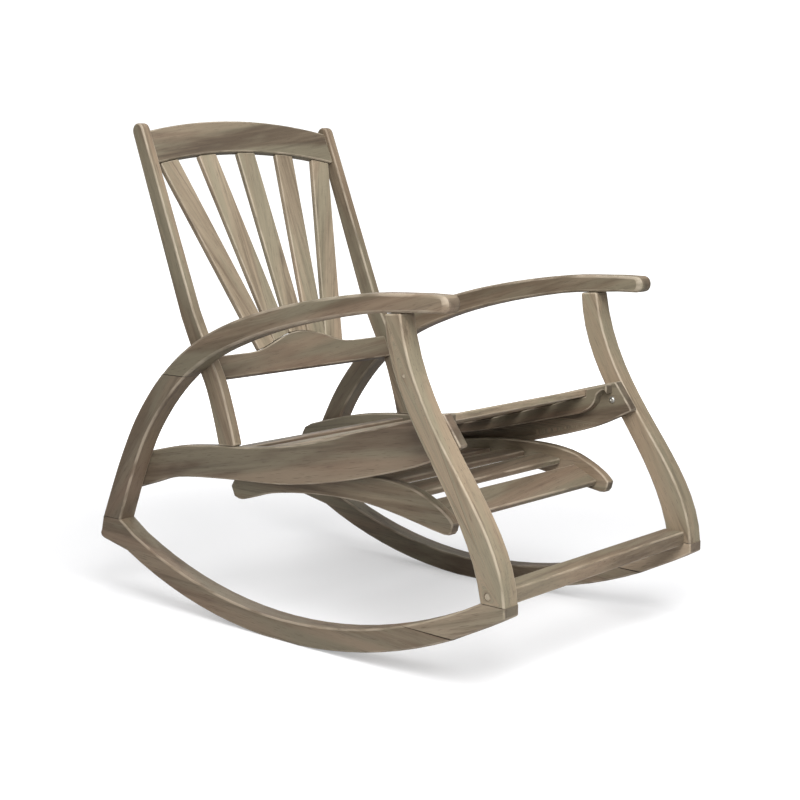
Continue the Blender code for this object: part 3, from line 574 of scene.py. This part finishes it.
# %% Arms, bows, legs and rockers
pieces = {}
NOSE = 0.012             # radius of an arm's tip in plan
TONES = {                # how pinkish each kind of board is
    "arm": -0.02, "bow": 0.10, "front_leg": -0.20, "rocker_rear": 0.05, "rocker_front": -0.1}
for side in ("right", "left"):
    for kind, ease, slot, meets in (
            ("arm", 0.0055, "acacia_mid", ("bow",)),
            ("bow", 0.0042, "acacia_pale", ("arm", "rocker_rear")),
            ("front_leg", 0.0035, "acacia_mid", ("rocker_front",)),
            ("rocker_rear", 0.0035, "acacia_mid", ("rocker_front", "bow")),
            ("rocker_front", 0.0035, "acacia_pale", ("rocker_rear", "front_leg"))):
        name = kind + "_" + side
        pieces[name] = board(name, ease, TONES[kind], slot, [m + "_" + side for m in meets],
                             nose=NOSE if kind == "arm" else None)
print("side frames:", len(pieces), "boards")

# %% [markdown]
# ## Seat, back and stretcher
#
# The seat rails dip in the middle like a bow, slats lie across them on bearers, and the back is a fan
# of five slats between a cambered crest and a rail with a hump. They are all thinner boards, so they
# get a smaller easing.

# %% Thinner boards
for side, lean in (("right", 0.12), ("left", 0.05)):
    for kind, ease, slot in (
            ("seat_rail", 0.003, "acacia_dark"), ("seat_bearer", 0.0025, "acacia_mid"),
            ("back_post", 0.0035, "acacia_mid"), ("footrest_rail", 0.003, "acacia_mid")):
        name = kind + "_" + side
        pieces[name] = board(name, ease, lean if kind == "seat_rail" else -0.05, slot)
rows = [("crest_rail", 0.0035, "acacia_dark"), ("lower_back_rail", 0.003, "acacia_dark"),
        ("rear_seat_rail", 0.0025, "acacia_dark"), ("front_stretcher", 0.003, "acacia_mid"),
        ("footrest_rear_rail", 0.002, "acacia_dark")]
rows += [("back_slat_%d" % k, 0.0025, "acacia_pale") for k in range(1, 6)]
rows += [("seat_slat_%d" % k, 0.003, "acacia_pale") for k in range(1, 7)]
rows += [("footrest_slat_%d" % k, 0.003, "acacia_pale") for k in range(1, 5)]
for name, ease, slot in rows:
    pieces[name] = board(name, ease, chance.uniform(-0.2, 0.15), slot)
print("boards in all:", len(pieces))

# %% [markdown]
# ## Cutting grooves and bores
#
# The footrest hangs on two pins each side that run in a slanted groove in the seat rail. Each front leg
# has two bores, one at its foot for a wooden plug and one high up for a small peg. All are cut with a
# Boolean, and the modifier is applied, so nothing but the finished board is left. The groove's place
# comes from the pins and from how far the footrest slides.

# %% Groove and bore cutters
PLAY = 0.0006            # room round a pin or a plug
PROUD = 0.02             # how far a cutter stands out of the wood it cuts
UNDERCUT = 0.0003        # how much deeper than its plug a bore is
PEG_R = 0.0034           # radius of the small peg high in each leg
PEG_PLAY = 0.0004
PEG_BORE = 0.0038        # depth of its bore
PEG_UP = 0.775           # its height, as a share of the leg's
BEYOND = 0.4             # a distance along X that is clear of the chair


def lathe(profile, centre, sides, hexagon=()):
    """A turned mesh on an axis along X. profile is a list of (x, radius).

    The rings whose places in the profile are in hexagon are six-sided.
    """
    build, rings = bmesh.new(), []
    for j, (x, radius) in enumerate(profile):
        ring = []
        for i in range(sides):
            a = 2 * math.pi * i / sides
            r = radius
            if j in hexagon:
                r = radius * math.cos(math.pi / 6) / math.cos((a % (math.pi / 3)) - math.pi / 6)
            y, z = centre[0] + r * math.cos(a), centre[1] + r * math.sin(a)
            ring.append(build.verts.new((x, y, z)))
        rings.append(ring)
    for a, b in zip(rings, rings[1:]):
        for i in range(sides):
            k = (i + 1) % sides
            build.faces.new((a[i], b[i], b[k], a[k]))
    build.faces.new(rings[0][::-1])
    build.faces.new(rings[-1])
    bmesh.ops.recalc_face_normals(build, faces=build.faces)
    return build


def carve(piece, build):
    """Takes the shape away from the piece for good."""
    mesh = bpy.data.meshes.new("cutter")
    build.to_mesh(mesh)
    build.free()
    tool = bpy.data.objects.new("cutter", mesh)
    bpy.context.scene.collection.objects.link(tool)
    step = piece.modifiers.new("carve", "BOOLEAN")
    step.solver, step.operation, step.object = "EXACT", "DIFFERENCE", tool
    keep = piece.modifiers.find("even shading")
    if keep >= 0:
        piece.modifiers.remove(piece.modifiers[keep])
    bpy.context.view_layer.update()
    solved = piece.evaluated_get(bpy.context.evaluated_depsgraph_get())
    cut = bpy.data.meshes.new_from_object(solved)
    piece.modifiers.remove(step)
    piece.data = cut
    cut.set_sharp_from_angle(angle=CREASE)
    bpy.data.objects.remove(tool)
    even(piece)


def middle_at(node, z):
    """Halfway between a board's two long edges at a height."""
    outline = broad_face(node)[0]
    ys = [p.y + (q.y - p.y) * (z - p.z) / (q.z - p.z)
          for p, q in zip(outline, outline[1:] + outline[:1]) if (p.z - z) * (q.z - z) < 0]
    return sum(ys) / len(ys)


peg_at = {}              # (y, z) of each leg's peg
slide = frame["joints"][0]
travel = Vector(slide["axis"]) * slide["range_m"][1]
for side, sign in (("right", -1), ("left", 1)):
    low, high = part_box("guide_pin_rear_" + side)
    rear = (low + high) / 2
    low_f, high_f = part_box("guide_pin_front_" + side)
    front = (low_f + high_f) / 2 + travel
    half = (high.z - low.z) / 2 + PLAY
    deep = sign * (max(abs(low.x), abs(high.x)) + PLAY)
    run = (front - rear).normalized()
    up = Vector((0, -run.z, run.y)) * half
    ends = [rear - run * half, front + run * half]
    build = bmesh.new()
    corners = [ends[0] + up, ends[1] + up, ends[1] - up, ends[0] - up]
    sheets = [[build.verts.new((x, c.y, c.z)) for c in corners] for x in (deep, deep - sign * PROUD)]
    build.faces.new(sheets[0])
    build.faces.new(sheets[1][::-1])
    for i in range(4):
        k = (i + 1) % 4
        build.faces.new((sheets[0][i], sheets[1][i], sheets[1][k], sheets[0][k]))
    bmesh.ops.recalc_face_normals(build, faces=build.faces)
    carve(pieces["seat_rail_" + side], build)

    low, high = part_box("leg_plug_" + side)
    middle, radius = (low + high) / 2, (high.y - low.y) / 2 + PLAY
    inside = min(abs(low.x), abs(high.x))
    bore = lathe([(sign * (inside - UNDERCUT), radius), (sign * (inside + PROUD), radius)],
                 (middle.y, middle.z), 32)
    carve(pieces["front_leg_" + side], bore)

    low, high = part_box("front_leg_" + side)
    z = low.z + PEG_UP * (high.z - low.z)
    peg_at[side] = (middle_at("front_leg_" + side, z), z)
    outer = low.x if sign < 0 else high.x
    bore = lathe([(outer - sign * PEG_BORE, PEG_R + PEG_PLAY), (sign * BEYOND, PEG_R + PEG_PLAY)],
                 peg_at[side], 24)
    carve(pieces["front_leg_" + side], bore)
print("groove length, mm:", round(1000 * (ends[1] - ends[0]).length))

# %% [markdown]
# ## Bolts, pins and plugs
#
# Barrel bolts draw the seat rails to the legs and bows. Their heads are low domes with a hexagon
# socket on a thin washer, turned like a lathe would. The plugs and pegs are slices of dowel, rubbed
# pale. The pegs are too small to matter to the working model, so they stand in for no piece of it.

# %% Turned pieces
SIDES = 36


def turned_piece(node, profile, slot, hexagon=(), centre=None, name=None):
    """A turned piece in place of a working node, or a new one with a centre and a name of its own."""
    if centre is None:
        low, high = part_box(node)
        centre = ((low.y + high.y) / 2, (low.z + high.z) / 2)
    build = lathe(profile, centre, SIDES, hexagon)
    if slot != "zinc_steel":
        log = build.verts.layers.float_vector.new("grain")
        worn = build.loops.layers.float.new("arris")
        for vert in build.verts:
            vert[log] = Vector((20 + vert.co.x, vert.co.y - centre[0] + 0.03, vert.co.z - centre[1]))
        for face in build.faces:
            for loop in face.loops:
                loop[worn] = 1.0
    return add_piece(name or node + "_turned", build, node, slot,
                     body=None if node else "chair")


for side, sign in (("right", -1), ("left", 1)):
    for kind in ("leg_bolt", "bow_bolt"):
        node = kind + "_" + side
        low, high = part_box(node)
        far, top = (low.x, high.x) if sign < 0 else (high.x, low.x)
        radius = (high.y - low.y) / 2
        into = -sign
        face = top - into * 0.003
        shank = [(far, 0.0026), (far + into * 0.0006, 0.003), (face, 0.003)]
        washer = [(face, radius), (face + into * 0.0008, radius)]
        dome = [(face + into * 0.0009, 0.86 * radius), (face + into * 0.0019, 0.80 * radius),
                (face + into * 0.0027, 0.62 * radius), (top, 0.46 * radius)]
        socket = [(top, 0.38 * radius), (top - into * 0.0016, 0.36 * radius)]
        turned_piece(node, shank + washer + dome + socket, "zinc_steel", hexagon=(9, 10))
    for kind in ("guide_pin_rear", "guide_pin_front"):
        node = kind + "_" + side
        low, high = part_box(node)
        radius = (high.y - low.y) / 2
        turned_piece(node, [(low.x, 0.8 * radius), (low.x + 0.0008, radius),
                            (high.x - 0.0008, radius), (high.x, 0.8 * radius)], "zinc_steel")
    node = "leg_plug_" + side
    low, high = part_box(node)
    radius = (high.y - low.y) / 2
    outer, inner = (low.x, high.x) if sign < 0 else (high.x, low.x)
    turned_piece(node, [(inner, 0.96 * radius), (outer - sign * 0.0007, radius),
                        (outer - sign * 0.0002, 0.93 * radius), (outer, 0.75 * radius)], "acacia_pale")
for side, sign in (("right", -1), ("left", 1)):
    face = sign * abs(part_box("front_leg_right")[0].x)
    turned_piece(None, [(face - sign * 0.0035, 0.96 * PEG_R), (face - sign * 0.0007, PEG_R),
                        (face - sign * 0.0001, 0.85 * PEG_R)], "acacia_pale",
                 centre=peg_at[side], name="leg_peg_" + side)

# %% [markdown]
# ## What is left of the working model
#
# The dowels inside the joints never show, so their plain solids stay, and only take the wood finish.
# A mesh that has no grain attribute would read zero everywhere, so they get the pale finish, which
# looks right even then.

# %% Dress the dowels
for name, node in frame["nodes"].items():
    if "dowel" in name:
        node.data.materials.clear()
        node.data.materials.append(FINISH["acacia_pale"])
left = [n for n, o in frame["nodes"].items() if not o.hide_render]
print("carried over:", left)

# %% [markdown]
# ## The studio
#
# The chair stands on a pale floor under soft light. The biggest softbox hangs before the chair and a
# little to its right-hand side, so the slats and the front legs are bright, and the far side frame
# and the underside fall into shade. Three weaker ones fill in from the side, the top and the rear. A
# floor that only catches light would turn grey far away, so it also glows, a little near the chair
# and more away from it, and only where the camera looks at it.

# %% Floor, light and air
GLOW = 0.38              # the floor's own light beside the chair
GLOW_AWAY = 0.9          # and what is added far from it
GLOW_FROM, GLOW_TO = 0.9, 2.6    # the distances between which it is added
PAPER = (0.62, 0.62, 0.63, 1.0)
FLOOR_REACH = 30.0


def studio_floor():
    """Pale paper that glows where it is seen, and is clear from underneath."""
    g = Graph("studio floor")
    g.tree.nodes.remove(g.shader)
    paper = g.node("ShaderNodeBsdfDiffuse", None, {"Color": PAPER})
    seen = g.node("ShaderNodeLightPath")
    away = g.node("ShaderNodeVectorMath", {"operation": "LENGTH"},
                  {0: g.node("ShaderNodeTexCoord", out=3)}, out=1)
    strength = seen * (away.between(GLOW_FROM, GLOW_TO) * GLOW_AWAY + GLOW)
    glow = g.node("ShaderNodeEmission", None, {"Color": (1, 1, 1, 1), "Strength": strength})
    both = g.node("ShaderNodeAddShader", None, {0: paper, 1: glow})
    below = g.node("ShaderNodeNewGeometry", out=6)       # from underneath, the floor is clear
    clear = g.node("ShaderNodeMixShader", None,
                   {0: below, 1: both, 2: g.node("ShaderNodeBsdfTransparent")})
    g.tree.links.new(clear.socket, g.tree.nodes["Material Output"].inputs["Surface"])
    return g.material


bpy.context.scene.view_settings.view_transform = "Standard"
sheet = bpy.data.meshes.new("floor")
sheet.from_pydata([(x * FLOOR_REACH, y * FLOOR_REACH, 0)
                   for x, y in ((-1, -1), (1, -1), (1, 1), (-1, 1))], [], [(0, 1, 2, 3)])
sheet.materials.append(studio_floor())
floor = bpy.data.objects.new("floor", sheet)
bpy.context.scene.collection.objects.link(floor)

world = bpy.data.worlds.new("studio air")
bpy.context.scene.world = world
world.use_nodes = True
air = world.node_tree
back = air.nodes["Background"]
back.inputs["Color"].default_value = (1, 1, 1, 1)
path = air.nodes.new("ShaderNodeLightPath")
level = air.nodes.new("ShaderNodeMapRange")
level.inputs["To Min"].default_value = 0.16      # what lights the chair
level.inputs["To Max"].default_value = 1.2       # what the camera sees
air.links.new(path.outputs["Is Camera Ray"], level.inputs["Value"])
air.links.new(level.outputs[0], back.inputs["Strength"])


def softbox(name, place, aim, size, power):
    """A white square lamp of a size in metres and a power in watts."""
    lamp = bpy.data.lights.new(name, "AREA")
    lamp.shape, lamp.size, lamp.energy = "SQUARE", size, power
    box = bpy.data.objects.new(name, lamp)
    box.location = place
    box.rotation_euler = (Vector(aim) - Vector(place)).to_track_quat("-Z", "Y").to_euler()
    bpy.context.scene.collection.objects.link(box)
    return box


softbox("key softbox", (-1.15, -1.75, 2.3), (0, -0.1, 0.4), 1.7, 92)
softbox("side softbox", (-2.7, -1.7, 1.7), (-0.3, -0.5, 0.4), 1.3, 34)
softbox("top softbox", (0.1, 0.1, 3.0), (0, 0, 0), 1.8, 30)
softbox("rear softbox", (1.9, 2.9, 2.3), (0, 0, 0.4), 2.4, 46)

# %% [markdown]
# ## The camera
#
# A long lens from the front right corner, a little under the height of the back, keeps the two side
# frames nearly parallel. It looks down by less than nine degrees, so the rockers' curve is plain.

# %% Camera
eye = bpy.data.cameras.new("camera")
eye.lens, eye.sensor_width = 69.75, 36.0
eye.clip_start, eye.clip_end = 0.05, 200.0
camera = bpy.data.objects.new("camera", eye)
camera.location = (-2.2855, -2.0248, 0.8833)
camera.rotation_euler = (math.radians(81.401), 0.0, math.radians(-48.846))
bpy.context.scene.collection.objects.link(camera)
bpy.context.scene.camera = camera
print("camera stands", round(camera.location.length, 2), "m from the middle of the floor")
